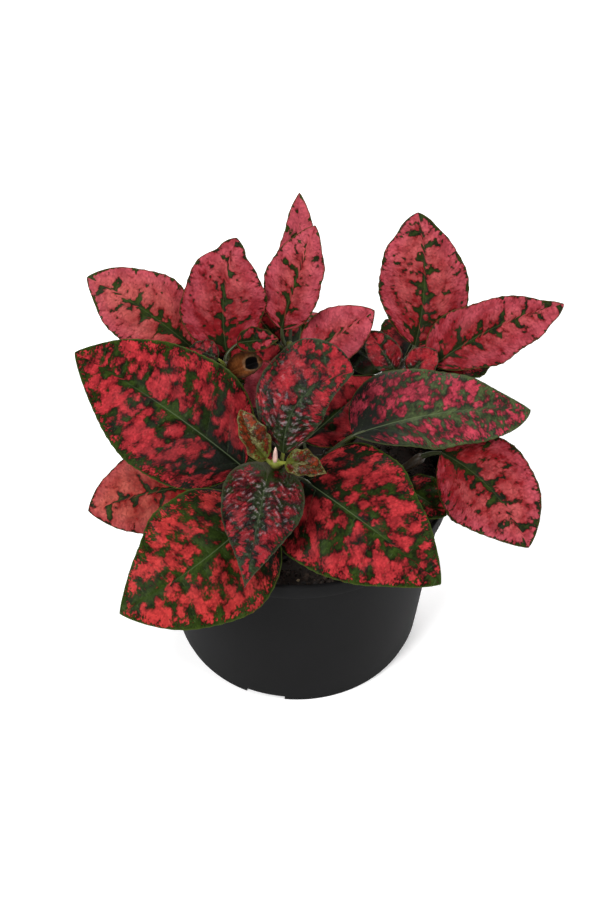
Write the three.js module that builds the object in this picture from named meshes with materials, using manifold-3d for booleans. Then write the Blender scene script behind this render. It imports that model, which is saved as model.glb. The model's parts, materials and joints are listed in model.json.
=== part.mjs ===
// A polka dot plant in a round black nursery pot, in millimetres, +Z up.
// The origin is the middle of the pot's underside, on the surface that the pot stands on.
// -Y is the front, where the largest leaves hang over the rim.
import * as THREE from "three";
import { mergeVertices } from "three/addons/utils/BufferGeometryUtils.js";
import Module from "manifold-3d";

const wasm = await Module();
wasm.setup();

// Space left between pieces that touch
const GAP = 0.3;

// Pot: a tapered thin-walled shell on an inset foot ring, with a shallow collar round its mouth
const POT_HEIGHT = 85;
const RIM_RADIUS = 60;
const BASE_RADIUS = 48.8;
const POT_WALL = 1.2;
const COLLAR_HEIGHT = 7;
const COLLAR_STEP = 2.2;
const FOOT_HEIGHT = 3;
const FOOT_INSET = 0.6;
const EDGE_ROUND = 0.8;
const POT_SIDES = 48;
const SHOULDER = POT_HEIGHT - COLLAR_HEIGHT;

// Drainage: raised channels across the underside, each with a hole near its inner end
const CHANNELS = 4;
const CHANNEL_TURN = -105.5;
const CHANNEL_WIDTH = 16;
const CHANNEL_HEIGHT = 3;
const CHANNEL_START = 18;
const DRAIN_RADIUS = 4;
const DRAIN_AT = 27;
const DRAIN_SIDES = 12;

// Growing medium: fills the pot to a little below the rim, with a lumpy top
const SOIL_TOP = 76;
const SOIL_RINGS = [44, 28, 12];
const SOIL_LUMPS = [
  { height: 1.1, along: [0.31, 0.11], start: 1.3 },
  { height: 0.8, along: [-0.12, 0.35], start: 0 },
  { height: 0.6, along: [0.17, 0.53], start: 2.1 },
];

// Stems: how deep they stand, how they bend, and how far their joints swell
const STEM_DEPTH = 24;
const STEM_UPRIGHT = 3;
const STEM_BEND = 0.5;
const STEM_SIDES = 8;
const STEM_STEPS = 9;
const JOINT_SWELL = 0.35;
const JOINT_LENGTH = 3;

// Leaves: the blade, the grid that it is built on by width, and the petiole that carries it
const BLADE_THICKNESS = 0.9;
const BLADE_GRIDS = [
  { upTo: 15, rows: 6, columns: 2 },
  { upTo: 31, rows: 8, columns: 4 },
  { upTo: 99, rows: 10, columns: 4 },
];
const EDGE_WAVES = 3.5;
const PETIOLE_SIDES = 6;
const PETIOLE_STEPS = 4;
const PETIOLE_RUNS_IN = 0.16;
const PETIOLE_TAPER = [1.1, 0.6];
const petioleRadius = (leaf) => 0.7 + 0.014 * leaf.width;

const RED = 0xa52a38;
const PINK = 0xb84a58;
const MAROON = 0x5c2530;
const BRONZE = 0x6b4a2a;

// What a leaf has unless it says otherwise. Arch lifts the middle of the midrib, sway bends it to the
// right, lean widens the right half and narrows the left one, wave is the height of the edge's waves,
// belly is where along it is widest, skew moves that place towards the tip in the right half and
// towards the foot in the left one, and full is how early it rounds off at both ends.
const PLAIN_LEAF = { arch: 3, sway: 0, lean: 0, wave: 1, belly: 0.42, skew: 0, full: 1.4, colour: RED };

// Each shoot: where its stem leaves the soil, where it ends, its radius at the foot and at the tip, and
// its leaves. Each leaf: the height of its joint on the stem, where its blade starts and ends, its full
// width and the way that its upper surface looks.
const SHOOTS = {
  front: {
    root: [-3, -14],
    tip: [-8, -36, 128],
    radius: [2.6, 1.7],
    bud: { radius: 1.9, length: 7 },
    leaves: {
      front_right: {
        joint: 100, from: [2, -28, 110], to: [53, -66, 94], width: 54, face: [0, -0.5, 0.9],
        arch: 5, belly: 0.27, full: 1.15,
      },
      front_left: {
        joint: 103, from: [-13, -41, 108], to: [-65, -75, 88], width: 52, face: [0, -0.6, 0.8],
        arch: 5, sway: -3, belly: 0.38,
      },
      left_large: {
        joint: 110, from: [-20, -25, 113], to: [-85, 21, 128], width: 51, face: [-0.2, -0.55, 0.8],
        arch: 5, sway: 2, belly: 0.38,
      },
      under_left: {
        joint: 90, from: [-9, -12, 95], to: [-33, 2, 99], width: 21, face: [0, -0.2, 0.9],
        arch: 2,
      },
      centre_front: {
        joint: 118, from: [-11, -41, 124], to: [-19, -74, 101], width: 31, face: [0, -0.7, 0.7],
        belly: 0.23, full: 1.75, colour: MAROON,
      },
      centre_back: {
        joint: 121, from: [-5, -32, 128], to: [21, -12, 150], width: 30, face: [0, -0.6, 0.8],
        sway: -8, lean: -0.25, belly: 0.5, skew: -0.12, colour: MAROON,
      },
      young_left: {
        joint: 125, from: [-11, -36, 129.5], to: [-20.5, -25, 144], width: 12, face: [0.5, -0.6, 0.8],
        arch: 2, sway: -2, colour: BRONZE,
      },
      young_right: {
        joint: 125, from: [-4, -38, 130], to: [11, -42, 128], width: 11, face: [0, -0.4, 0.9],
        arch: 2, belly: 0.36, full: 1.8, colour: BRONZE,
      },
    },
  },
  left: {
    root: [-13, 6],
    tip: [-28, 20, 124],
    radius: [2.4, 1.6],
    leaves: {
      rear_left: {
        joint: 119, from: [-27, 25, 124], to: [-23, 53, 158], width: 33, face: [0, -0.8, 0.6],
        arch: 2, sway: -3, colour: PINK,
      },
      left_upper: {
        joint: 117, from: [-40, 29, 122], to: [-81, 47, 143], width: 32, face: [-0.1, -0.7, 0.7],
        sway: 2, colour: PINK,
      },
      left_tip_right: {
        joint: 122, from: [-23, 25, 129], to: [-7, 24, 132], width: 10, face: [0, -0.5, 0.9],
        arch: 1, colour: MAROON,
      },
      left_tip_left: {
        joint: 122, from: [-30, 18, 127.5], to: [-41, 23, 129], width: 11, face: [0, -0.6, 0.8],
        arch: 1, colour: MAROON,
      },
      left_curled: {
        joint: 115, from: [-26, 13.5, 124.5], to: [-13, 17.5, 127], width: 10, face: [0, -0.6, 0.8],
        arch: 1, colour: MAROON,
      },
      back_left_upper: {
        joint: 111, from: [-24, 42, 112], to: [-37, 68, 114], width: 24, face: [0, -0.2, 0.9],
      },
      back_left: {
        joint: 106, from: [-28, 34, 104], to: [-58, 66, 100], width: 34, face: [0, 0.3, 0.9],
        arch: 4,
      },
      left_lower: {
        joint: 99, from: [-30, 16, 100], to: [-76, 34, 97], width: 34, face: [-0.2, 0.1, 0.9],
        arch: 4,
      },
    },
  },
  rear: {
    root: [0, 15],
    tip: [-3, 30, 125],
    radius: [2.5, 1.6],
    leaves: {
      rear_middle: {
        joint: 122, from: [-6, 32, 130], to: [7, 51, 166], width: 24, face: [-0.4, -0.8, 0.4],
        arch: 2, colour: PINK,
      },
      rear_top: {
        joint: 119, from: [-2, 40, 128], to: [1, 63, 172], width: 16, face: [0.2, -0.8, 0.5],
        arch: 2, colour: PINK,
      },
      rear_pink: {
        joint: 117, from: [2, 25, 122], to: [30, 38, 134], width: 22, face: [0, -0.7, 0.7],
        arch: 2, colour: PINK,
      },
      rear_behind: {
        joint: 116, from: [-7, 38, 117], to: [-18, 52, 122], width: 17, face: [-0.1, -0.7, 0.7],
        arch: 2, belly: 0.35,
      },
      rear_under: {
        joint: 108, from: [-6, 23, 111], to: [-26, 36, 118], width: 22, face: [0, -0.4, 0.9],
        arch: 2,
      },
      rear_folded: {
        joint: 112, from: [-4, 24, 118], to: [-19, 5, 114], width: 20, face: [0, -0.3, 0.9],
        arch: 2,
      },
      back_middle_upper: {
        joint: 106, from: [8, 40, 109], to: [16, 62, 110], width: 20, face: [0, -0.2, 0.9],
      },
      back_middle: {
        joint: 103, from: [0, 44, 103], to: [4, 80, 94], width: 30, face: [0, 0.3, 0.9],
        arch: 4,
      },
    },
  },
  right: {
    root: [16, 10],
    tip: [41, 26, 119],
    radius: [2.4, 1.6],
    leaves: {
      right_upright: {
        joint: 114, from: [46, 35, 118], to: [47, 70, 156], width: 36, face: [0, -0.75, 0.65],
        arch: 2, sway: 3, skew: -0.07, full: 1.25, colour: PINK,
      },
      right_upper: {
        joint: 111, from: [53, 26, 116], to: [104, 46, 130], width: 27, face: [0.1, -0.6, 0.8],
        sway: -3, belly: 0.38, skew: 0.1, colour: PINK,
      },
      right_tip_left: {
        joint: 114, from: [38, 22.5, 116.5], to: [28, 35, 126], width: 13, face: [0, -0.7, 0.7],
        arch: 1, colour: MAROON,
      },
      right_tip_right: {
        joint: 116, from: [43, 21, 117], to: [54, 27, 123], width: 13, face: [0, -0.7, 0.7],
        arch: 1, colour: MAROON,
      },
      back_right_upper: {
        joint: 108, from: [52, 43, 109], to: [70, 64, 111], width: 22, face: [0, -0.2, 0.9],
      },
      back_right: {
        joint: 104, from: [42, 42, 103], to: [60, 80, 98], width: 32, face: [0, 0.3, 0.9],
        arch: 4,
      },
      right_lower: {
        joint: 98, from: [50, 34, 99], to: [84, 65, 96], width: 27, face: [0.2, 0.2, 0.9],
      },
      right_shaded: {
        joint: 110, from: [35, 29, 112], to: [16, 41, 115], width: 16, face: [0, -0.5, 0.8],
        arch: 2, colour: MAROON,
      },
      right_inner: {
        joint: 92, from: [46, 13, 95], to: [80, 20, 92], width: 26, face: [0, 0, 1],
        arch: 4,
      },
    },
  },
  middle: {
    root: [9, -6],
    tip: [12, -9, 105],
    radius: [2.3, 1.6],
    leaves: {
      right_large: {
        joint: 103, from: [21, -15, 120], to: [89, 2, 116], width: 35, face: [0, -0.4, 0.9],
        arch: 5, sway: -2, lean: -0.2, skew: 0.13,
      },
      under_middle: {
        joint: 101, from: [3, -8, 109], to: [33, 23, 113], width: 25, face: [0, -0.4, 0.9],
        arch: 2,
      },
    },
  },
  side: {
    root: [24, -9],
    tip: [49, -4, 97],
    radius: [2.2, 1.6],
    leaves: {
      right_low: {
        joint: 95, from: [55, -8, 103], to: [87, -44, 89], width: 37, face: [0, -0.6, 0.8],
        arch: 4, sway: -4,
      },
      under_right: {
        joint: 88, from: [39, -13, 90], to: [57, -27, 88], width: 20, face: [0, -0.3, 0.9],
        arch: 2,
      },
    },
  },
  low: {
    root: [-21, -13],
    tip: [-30, -19, 98],
    radius: [2, 1.4],
    leaves: {
      left_low: {
        joint: 94, from: [-37, -22, 100], to: [-79, -29, 93], width: 32, face: [0, -0.6, 0.8],
        sway: 1, colour: PINK,
      },
      left_inner: {
        joint: 90, from: [-31, -6, 95], to: [-68, 3, 94], width: 28, face: [-0.1, 0, 1],
        arch: 4,
      },
    },
  },
};

const vector = (numbers) => new THREE.Vector3(...numbers);
const mix = THREE.MathUtils.lerp;

// A closed geometry as a solid that can be joined and cut.
function solidFrom(geometry) {
  geometry.deleteAttribute("normal");
  geometry.deleteAttribute("uv");
  const merged = mergeVertices(geometry, 1e-4);
  return new wasm.Manifold(
    new wasm.Mesh({
      numProp: 3,
      vertProperties: merged.attributes.position.array,
      triVerts: new Uint32Array(merged.index.array),
    }),
  );
}

// A solid as a geometry for a mesh.
function geometryFrom(solid) {
  const { vertProperties, triVerts } = solid.getMesh();
  const geometry = new THREE.BufferGeometry();
  geometry.setAttribute("position", new THREE.BufferAttribute(vertProperties, 3));
  geometry.setIndex(new THREE.BufferAttribute(triVerts, 1));
  return geometry;
}

// A solid of revolution about Z from [radius, height] pairs that start and end on the axis.
function turned(profile) {
  const geometry = new THREE.LatheGeometry(profile.map((pair) => new THREE.Vector2(...pair)), POT_SIDES);
  geometry.rotateX(Math.PI / 2);
  return geometry;
}

// A closed round rod bent along a curve. radiusAt gives its radius for a share of the way along.
function rod(curve, radiusAt, steps, sides) {
  const geometry = new THREE.CylinderGeometry(1, 1, 1, sides, steps);
  const { normals, binormals } = curve.computeFrenetFrames(steps, false);
  const position = geometry.attributes.position;
  for (let i = 0; i < position.count; i += 1) {
    const step = Math.round((0.5 - position.getY(i)) * steps);
    const radius = radiusAt(step / steps);
    const point = curve
      .getPointAt(step / steps)
      .addScaledVector(normals[step], radius * position.getX(i))
      .addScaledVector(binormals[step], radius * position.getZ(i));
    position.setXYZ(i, point.x, point.y, point.z);
  }
  return solidFrom(geometry);
}

// The pot

const bodyRadiusAt = (z) => mix(BASE_RADIUS, RIM_RADIUS - COLLAR_STEP, z / SHOULDER);
const innerRadiusAt = (z) => bodyRadiusAt(z) - POT_WALL;

// The drainage channels, made larger all round by an allowance.
function channels(allowance) {
  const size = [
    BASE_RADIUS - CHANNEL_START + allowance + 5,
    CHANNEL_WIDTH + 2 * allowance,
    2 * (CHANNEL_HEIGHT + allowance),
  ];
  const parts = [];
  for (let i = 0; i < CHANNELS; i += 1) {
    const channel = new THREE.BoxGeometry(...size);
    channel.translate(CHANNEL_START - allowance + size[0] / 2, 0, 0);
    channel.rotateZ(THREE.MathUtils.degToRad(CHANNEL_TURN + (360 * i) / CHANNELS));
    parts.push(solidFrom(channel));
  }
  return wasm.Manifold.union(parts);
}

function drainHoles() {
  const parts = [];
  for (let i = 0; i < CHANNELS; i += 1) {
    const hole = new THREE.CylinderGeometry(DRAIN_RADIUS, DRAIN_RADIUS, 4 * CHANNEL_HEIGHT, DRAIN_SIDES);
    hole.rotateX(Math.PI / 2);
    hole.translate(DRAIN_AT, 0, 0);
    hole.rotateZ(THREE.MathUtils.degToRad(CHANNEL_TURN + (360 * i) / CHANNELS));
    parts.push(solidFrom(hole));
  }
  return wasm.Manifold.union(parts);
}

function potOutside() {
  const footRadius = BASE_RADIUS - FOOT_INSET;
  return solidFrom(
    turned([
      [0, 0],
      [footRadius - EDGE_ROUND, 0],
      [footRadius, EDGE_ROUND],
      [footRadius, FOOT_HEIGHT],
      [bodyRadiusAt(FOOT_HEIGHT), FOOT_HEIGHT + FOOT_INSET],
      [bodyRadiusAt(SHOULDER - 1), SHOULDER - 1],
      [RIM_RADIUS - EDGE_ROUND, SHOULDER],
      [RIM_RADIUS, SHOULDER + EDGE_ROUND],
      [RIM_RADIUS, POT_HEIGHT - EDGE_ROUND],
      [RIM_RADIUS - EDGE_ROUND, POT_HEIGHT],
      [0, POT_HEIGHT],
    ]),
  );
}

function potInside() {
  return solidFrom(
    turned([
      [0, POT_WALL],
      [innerRadiusAt(POT_WALL) - 2, POT_WALL],
      [innerRadiusAt(FOOT_HEIGHT), FOOT_HEIGHT + 1],
      [innerRadiusAt(SHOULDER), SHOULDER],
      [RIM_RADIUS - POT_WALL, SHOULDER + COLLAR_STEP],
      [RIM_RADIUS - POT_WALL, POT_HEIGHT + 1],
      [0, POT_HEIGHT + 1],
    ]),
  );
}

function makePot() {
  return potOutside()
    .subtract(potInside().subtract(channels(POT_WALL)))
    .subtract(channels(0))
    .subtract(drainHoles());
}

// The stems

// A stem rises straight out of the soil, then leans over towards its tip.
function stemCurve({ root, tip }) {
  const [x, y] = root;
  const end = vector(tip);
  return new THREE.CatmullRomCurve3([
    new THREE.Vector3(x, y, SOIL_TOP - STEM_DEPTH),
    new THREE.Vector3(x, y, SOIL_TOP - STEM_DEPTH / 2),
    new THREE.Vector3(x, y, SOIL_TOP + STEM_UPRIGHT),
    new THREE.Vector3(mix(x, end.x, STEM_BEND), mix(y, end.y, STEM_BEND), mix(SOIL_TOP, end.z, 0.55)),
    end,
  ]);
}

// The point of a stem's middle line at a height.
function stemPointAt(shoot, height) {
  const offBy = (point) => Math.abs(point.z - height);
  return stemCurve(shoot)
    .getSpacedPoints(200)
    .reduce((best, point) => (offBy(point) < offBy(best) ? point : best));
}

// A stem with its joints and its bud, made thicker all round by an allowance.
function makeStem(shoot, allowance = 0) {
  const curve = stemCurve(shoot);
  const joints = Object.values(shoot.leaves).map((leaf) => leaf.joint);
  const radiusAt = (share) => {
    const { z } = curve.getPointAt(share);
    const swell = Math.max(0, ...joints.map((joint) => 1 - Math.abs(z - joint) / JOINT_LENGTH));
    return mix(...shoot.radius, share) + JOINT_SWELL * swell + allowance;
  };
  const stem = rod(curve, radiusAt, STEM_STEPS, STEM_SIDES);
  if (!shoot.bud) return stem;
  const bud = new THREE.SphereGeometry(1, STEM_SIDES, 6);
  bud.rotateX(Math.PI / 2);
  bud.scale(shoot.bud.radius + allowance, shoot.bud.radius + allowance, shoot.bud.length / 2 + allowance);
  bud.translate(...curve.getPointAt(1).add(new THREE.Vector3(0, 0, shoot.bud.length / 3)));
  return stem.add(solidFrom(bud));
}

// The growing medium

const soilHeightAt = (x, y) =>
  SOIL_LUMPS.reduce(
    (z, { height, along, start }) => z + height * Math.sin(along[0] * x + along[1] * y + start),
    SOIL_TOP,
  );

// Fills the pot, and has a plain hole for each stem.
function makeSoil(stems) {
  const floor = POT_WALL + GAP;
  const edge = innerRadiusAt(SOIL_TOP - 3) - GAP;
  const geometry = turned([
    [0, floor],
    [innerRadiusAt(floor) - GAP - 2, floor],
    [innerRadiusAt(FOOT_HEIGHT) - GAP, FOOT_HEIGHT + 1 + GAP],
    [edge, SOIL_TOP - 3],
    ...SOIL_RINGS.map((radius) => [radius, SOIL_TOP]),
    [0, SOIL_TOP],
  ]);
  const position = geometry.attributes.position;
  for (let i = 0; i < position.count; i += 1) {
    if (position.getZ(i) === SOIL_TOP) position.setZ(i, soilHeightAt(position.getX(i), position.getY(i)));
  }
  return solidFrom(geometry).subtract(channels(POT_WALL + GAP)).subtract(wasm.Manifold.union(stems));
}

// The leaves

// A blade's half width, as a share of its largest, from its foot to its tip.
function outline(u, belly, full) {
  const nearFoot = belly * full;
  const nearTip = (1 - belly) * full;
  const shape = (at) => Math.pow(at, nearFoot) * Math.pow(1 - at, nearTip);
  return shape(u) / shape(belly);
}

// The midrib's point at u, and the directions along it, to its right and up from the blade.
function midribAt(leaf, u) {
  const chord = vector(leaf.to).sub(vector(leaf.from));
  const up = vector(leaf.face).projectOnPlane(chord).normalize();
  const right = chord.clone().cross(up).normalize();
  const bow = up.multiplyScalar(leaf.arch).addScaledVector(right, leaf.sway);
  const point = vector(leaf.from).addScaledVector(chord, u).addScaledVector(bow, 4 * u * (1 - u));
  const along = chord.addScaledVector(bow, 4 * (1 - 2 * u)).normalize();
  const normal = vector(leaf.face).projectOnPlane(along).normalize();
  return { point, along, normal, right: along.clone().cross(normal) };
}

// A point on the blade: u runs from its foot to its tip, v from -1 at the left edge to 1 at the right,
// and side is -1 on the lower surface and 1 on the upper.
function bladePoint(leaf, u, v, side) {
  const { point, normal, right } = midribAt(leaf, u);
  const hand = Math.sign(v);
  const share = outline(u, leaf.belly + leaf.skew * hand, leaf.full);
  const half = (leaf.width / 2) * (1 + leaf.lean * hand) * share;
  const wave = leaf.wave * v * v * Math.sin(Math.PI * u) * Math.sin(2 * Math.PI * EDGE_WAVES * u + 2 * v);
  return point.addScaledVector(right, v * half).addScaledVector(normal, wave + (side * BLADE_THICKNESS) / 2);
}

function makeBlade(leaf) {
  const { rows, columns } = BLADE_GRIDS.find((grid) => leaf.width < grid.upTo);
  const points = [];
  const index = [];
  const perSide = 2 + (rows - 1) * (columns + 1);
  const pointAt = (side, row, column) => {
    if (row === 0) return side * perSide;
    if (row === rows) return side * perSide + 1;
    return side * perSide + 2 + (row - 1) * (columns + 1) + column;
  };
  // The rows lie closer together towards the foot and the tip, where the outline turns fastest.
  const shareAt = (row) => (1 - Math.cos((Math.PI * row) / rows)) / 2;
  for (const side of [-1, 1]) {
    points.push(bladePoint(leaf, 0, 0, side), bladePoint(leaf, 1, 0, side));
    for (let row = 1; row < rows; row += 1) {
      for (let column = 0; column <= columns; column += 1) {
        points.push(bladePoint(leaf, shareAt(row), (2 * column) / columns - 1, side));
      }
    }
  }
  // Splits a patch in two, the same way on the upper and the lower surface, without its flat triangles.
  const addPatch = (corners, faceUp) => {
    const [a, b, c, d] = corners;
    for (const triangle of [[a, b, c], [a, c, d]]) {
      if (new Set(triangle).size === 3) index.push(...(faceUp ? triangle : triangle.reverse()));
    }
  };
  for (let row = 0; row < rows; row += 1) {
    for (const side of [0, 1]) {
      for (let column = 0; column < columns; column += 1) {
        const near = [pointAt(side, row, column), pointAt(side, row, column + 1)];
        const far = [pointAt(side, row + 1, column + 1), pointAt(side, row + 1, column)];
        addPatch([...near, ...far], side === 1);
      }
      const edge = side * columns;
      const lower = [pointAt(0, row, edge), pointAt(0, row + 1, edge)];
      const upper = [pointAt(1, row + 1, edge), pointAt(1, row, edge)];
      addPatch([...lower, ...upper], side === 1);
    }
  }
  const geometry = new THREE.BufferGeometry().setFromPoints(points);
  geometry.setIndex(index);
  return solidFrom(geometry);
}

// The petiole leaves its joint, bends, and runs on under the foot of the blade.
function makePetiole(leaf, shoot) {
  const start = stemPointAt(shoot, leaf.joint);
  const foot = midribAt(leaf, 0);
  const end = midribAt(leaf, PETIOLE_RUNS_IN);
  const reach = start.distanceTo(foot.point);
  const bend = foot.point.clone().addScaledVector(foot.along, -0.45 * reach).lerp(start, 0.45);
  bend.setZ(mix(start.z, foot.point.z, 0.3));
  const curve = new THREE.CatmullRomCurve3([
    start,
    bend,
    foot.point.addScaledVector(foot.normal, -BLADE_THICKNESS / 2),
    end.point.addScaledVector(end.normal, -BLADE_THICKNESS / 2),
  ]);
  const radiusAt = (share) => petioleRadius(leaf) * mix(...PETIOLE_TAPER, share);
  return rod(curve, radiusAt, PETIOLE_STEPS, PETIOLE_SIDES);
}

function makeLeaf(given, shoot, grownStem) {
  const leaf = { ...PLAIN_LEAF, ...given };
  return makeBlade(leaf).add(makePetiole(leaf, shoot)).subtract(grownStem);
}

// The whole plant

function piece(name, solid, color, roughness) {
  const material = new THREE.MeshStandardMaterial({ color, roughness, metalness: 0 });
  const mesh = new THREE.Mesh(geometryFrom(solid), material);
  mesh.name = name;
  return mesh;
}

const plant = new THREE.Group();
plant.name = "potted_polka_dot_plant";
plant.add(piece("pot", makePot(), 0x2a2929, 0.55));

const grownStems = [];
for (const [name, shoot] of Object.entries(SHOOTS)) {
  const grownStem = makeStem(shoot, GAP);
  grownStems.push(grownStem);
  const group = new THREE.Group();
  group.add(piece(`stem_${name}`, makeStem(shoot), 0x4a5a2a, 0.6));
  for (const [leafName, leaf] of Object.entries(shoot.leaves)) {
    group.add(piece(`leaf_${leafName}`, makeLeaf(leaf, shoot, grownStem), leaf.colour ?? RED, 0.5));
  }
  plant.add(group);
}
plant.add(piece("growing_medium", makeSoil(grownStems), 0x1b130e, 1));

export default plant;
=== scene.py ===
"""A polka dot plant in a black nursery pot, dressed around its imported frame.

Every length is in millimetres, as on the real plant, and becomes metres where a mesh is made.
The origin is the middle of the pot's underside, +Z is up and -Y is the side that the photo shows.
"""
import json
import math
from functools import partial

import bmesh
import bpy
import numpy as np
from mathutils import Matrix


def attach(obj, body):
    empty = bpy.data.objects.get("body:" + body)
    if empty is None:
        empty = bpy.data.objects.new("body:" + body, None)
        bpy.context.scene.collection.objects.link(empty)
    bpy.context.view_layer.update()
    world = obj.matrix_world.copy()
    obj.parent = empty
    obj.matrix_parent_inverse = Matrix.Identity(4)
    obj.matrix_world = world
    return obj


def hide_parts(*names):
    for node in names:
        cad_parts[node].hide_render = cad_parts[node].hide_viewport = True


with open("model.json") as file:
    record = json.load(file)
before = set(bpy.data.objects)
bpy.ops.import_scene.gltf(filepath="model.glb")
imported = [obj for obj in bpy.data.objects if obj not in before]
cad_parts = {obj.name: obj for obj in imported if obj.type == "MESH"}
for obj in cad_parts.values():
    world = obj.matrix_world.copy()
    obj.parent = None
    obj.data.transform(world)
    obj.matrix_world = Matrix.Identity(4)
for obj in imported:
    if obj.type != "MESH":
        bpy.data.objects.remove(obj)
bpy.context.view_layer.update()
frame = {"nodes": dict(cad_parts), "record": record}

MM = 0.001
SEED = 7
rng = np.random.default_rng(SEED)

# The pot: the same tapered shell as its solid, with a rounded rim and finer sides
POT_HEIGHT = 85
RIM_RADIUS = 60
BASE_RADIUS = 48.8
POT_WALL = 1.2
COLLAR_HEIGHT = 7
COLLAR_STEP = 2.2
FOOT_HEIGHT = 3
FOOT_INSET = 0.6
EDGE_ROUND = 0.8
SHOULDER = POT_HEIGHT - COLLAR_HEIGHT
LOW_RING = 10
POT_SIDES = 180

# The drainage channels under the pot, which are cut on past its side, each with a hole near its inner
# end, which is cut between these heights
CHANNELS = 4
CHANNEL_TURN = -105.5
CHANNEL_WIDTH = 16
CHANNEL_HEIGHT = 3
CHANNEL_START = 18
CHANNEL_BEYOND = 5
DRAIN_RADIUS = 4
DRAIN_AT = 27
DRAIN_HEIGHTS = (-6, 0, 6)
DRAIN_SIDES = 32

# The growing medium: the height, reach and lumps of its top, and the crumbs that lie on it: how many, how
# large, how far drawn out in length, width and height, how rough, how far out of the peat, and the share
# of pale ones
SOIL_TOP = 76
SOIL_EDGE = 55.5
SOIL_LUMPS = ((1.1, (0.31, 0.11), 1.3), (0.8, (-0.12, 0.35), 0), (0.6, (0.17, 0.53), 2.1))
CRUMBS = 2600
CRUMB_SIZES = (0.7, 2.4)
CRUMB_STRETCH = ((0.7, 1.6), (0.7, 1.2), (0.5, 0.9))
CRUMB_ROUGHNESS = (0.75, 1.25)
CRUMB_RISE = 0.3
PALE_CRUMBS = 0.05

# The stems: how deep they stand, how far they rise straight, how far along and how high they bend, how
# their joints swell, and how narrow they end
STEM_DEPTH = 24
STEM_UPRIGHT = 3
STEM_BEND = 0.5
STEM_BEND_RISE = 0.55
STEM_SIDES = 16
STEM_STEP = 1.5
JOINT_SWELL = 0.5
JOINT_LENGTH = 3
STEM_END = 0.6

# The bud: how it leans, how much slimmer it is drawn than its solid, and how thick it is from its foot to
# its tip, as shares of its full radius
BUD_LEAN = (0.05, 0.1, 1)
BUD_FULLNESS = 0.48
BUD_SHAPE = (0.8, 0.95, 1, 0.98, 0.92, 0.82, 0.66, 0.42, 0.08)

# The leaves: a blade's thickness at its middle and at its edge, the waves and the fine scallops of its
# edge, the slow waves of its width along it and between its halves, the place and length of the neck
# below a drawn-out tip, how far its middle undulates and how fast along and across it, how far from the
# midrib that starts, and how much the foot's lobes droop, how they bend outwards and how soon they end
BLADE_THICKNESS = 0.5
EDGE_THICKNESS = 0.15
EDGE_WAVES = 3.5
SCALLOP_LENGTH = 3.6
SCALLOP_DEPTH = 0.3
RAGGED_TURNS = (13, 5)
NECK_AT = 0.87
NECK_LENGTH = 0.06
UNDULATION = 0.9
UNDULATION_TURNS = (0.21, 0.17)
UNDULATION_START = 5
LOBE_DROOP = 0.4
LOBE_BEND = 1.5
LOBE_FADE = 5

# The spacing of the points that a blade and a young blade are drawn with, how many times closer their
# rows lie, and how widely the leaves' draws are spread, which start their waves and their mottling
BLADE_STEP = 0.75
YOUNG_BLADE_STEP = 0.4
ROW_CLOSENESS = 1.4
DRAW_SPREAD = 20

# The petioles: their radius and how much larger it is for each millimetre of the blade's width, where
# they bend on their way to the blade, how high that is, how far below the blade's foot they pass, where
# and how deep they run on under the blade, how thick they are, as a share, where they reach the blade, a
# little beyond and at its tip, and how far that little is
PETIOLE_SIDES = 10
PETIOLE_STEP = 1.2
PETIOLE_RADIUS = (0.7, 0.014)
PETIOLE_BEND = 0.45
PETIOLE_RISE = 0.3
PETIOLE_DROP = 0.8
PETIOLE_POINTS = (0.12, 0.35, 0.6, 0.88)
PETIOLE_SUNK = 0.6
PETIOLE_TAPER = (0.62, 0.48, 0.2)
PETIOLE_RUN = 0.12

# The blisters of young leaves: how steep their sides are, how long they are along the blade, as a share
# of their length across it, how crooked their rows are and how fast they wind along and across, the size
# and share of the small crinkles on them, how uneven their height is and how fast that changes, how much
# higher they are at the foot and how fast that fades, and how much painted highlight on their tops and
# painted shade in their creases each millimetre of height gives
BLISTER_STEEPNESS = 2.4
BLISTER_STRETCH = 0.6
WARP = 0.9
WARP_TURNS = (1.1, 0.9)
CRINKLE = 0.45
CRINKLE_SHARE = 0.35
PATCHY = 0.3
PATCHY_TURNS = (0.5, 0.45)
BLISTER_FOOT = 1.6
BLISTER_FADE = 1.5
RELIEF = 1.7

# The veins: the space between side veins, how far they sweep towards the tip and how that bends, how far
# the left and right ones are each moved out of step, how much straighter than they the mottling lies, as
# a share, how much nearer a slanting line is than it is measured along or across the blade, how much of
# the midrib's depth is lost towards the tip, how deep and wide the midrib and the side veins lie in the
# upper surface, and how far and how soon the blade swells between them
VEIN_SPACING = 10
VEIN_SWEEP = 0.22
VEIN_BEND = 1.2
VEIN_STAGGER = 0.25
MOTTLING_STRAIGHT = 0.5
SLANT = 0.85
MIDRIB_FADE = 0.6
MIDRIB_DEPTH = 0.35
MIDRIB_WIDTH = 0.7
VEIN_DEPTH = 0.16
VEIN_WIDTH = 0.7
SWELL = 0.35
SWELL_START = 3

# The mottling: how much the cells of a leaf roughen the outlines of its islands, how many dots wide a
# patch of them is, how much the dots count beside the patches, how many dots far they are pulled out of
# round, how many dots apart the green eyes are, and how much greener the margin is
CELL_SHARE = 0.24
PATCH = 2.0
DOT_SHARE = 0.2
PULL = 1.5
EYE_SPACING = 2.4
MARGIN = 0.18

# The sizes of the other patterns: a leaf's clouds of colour, its cells and the pores of its skin, the
# rolled leaf's ragged rim and its fibres, a stem's clouds, the pot's clouds and orange-peel, and the
# peat's dust. The finest are drawn as coarse as they need to show.
CLOUD_SIZE = 5
GRAIN_SIZE = 0.7
PORE_SIZE = 5 / 7
RAG_SIZE = 10 / 3
FIBRE_SIZE = 5 / 6
STEM_CLOUD_SIZE = 5 / 3
POT_CLOUD_SIZE = 25
PEEL_SIZE = 10 / 9
DUST_SIZE = 2

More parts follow.
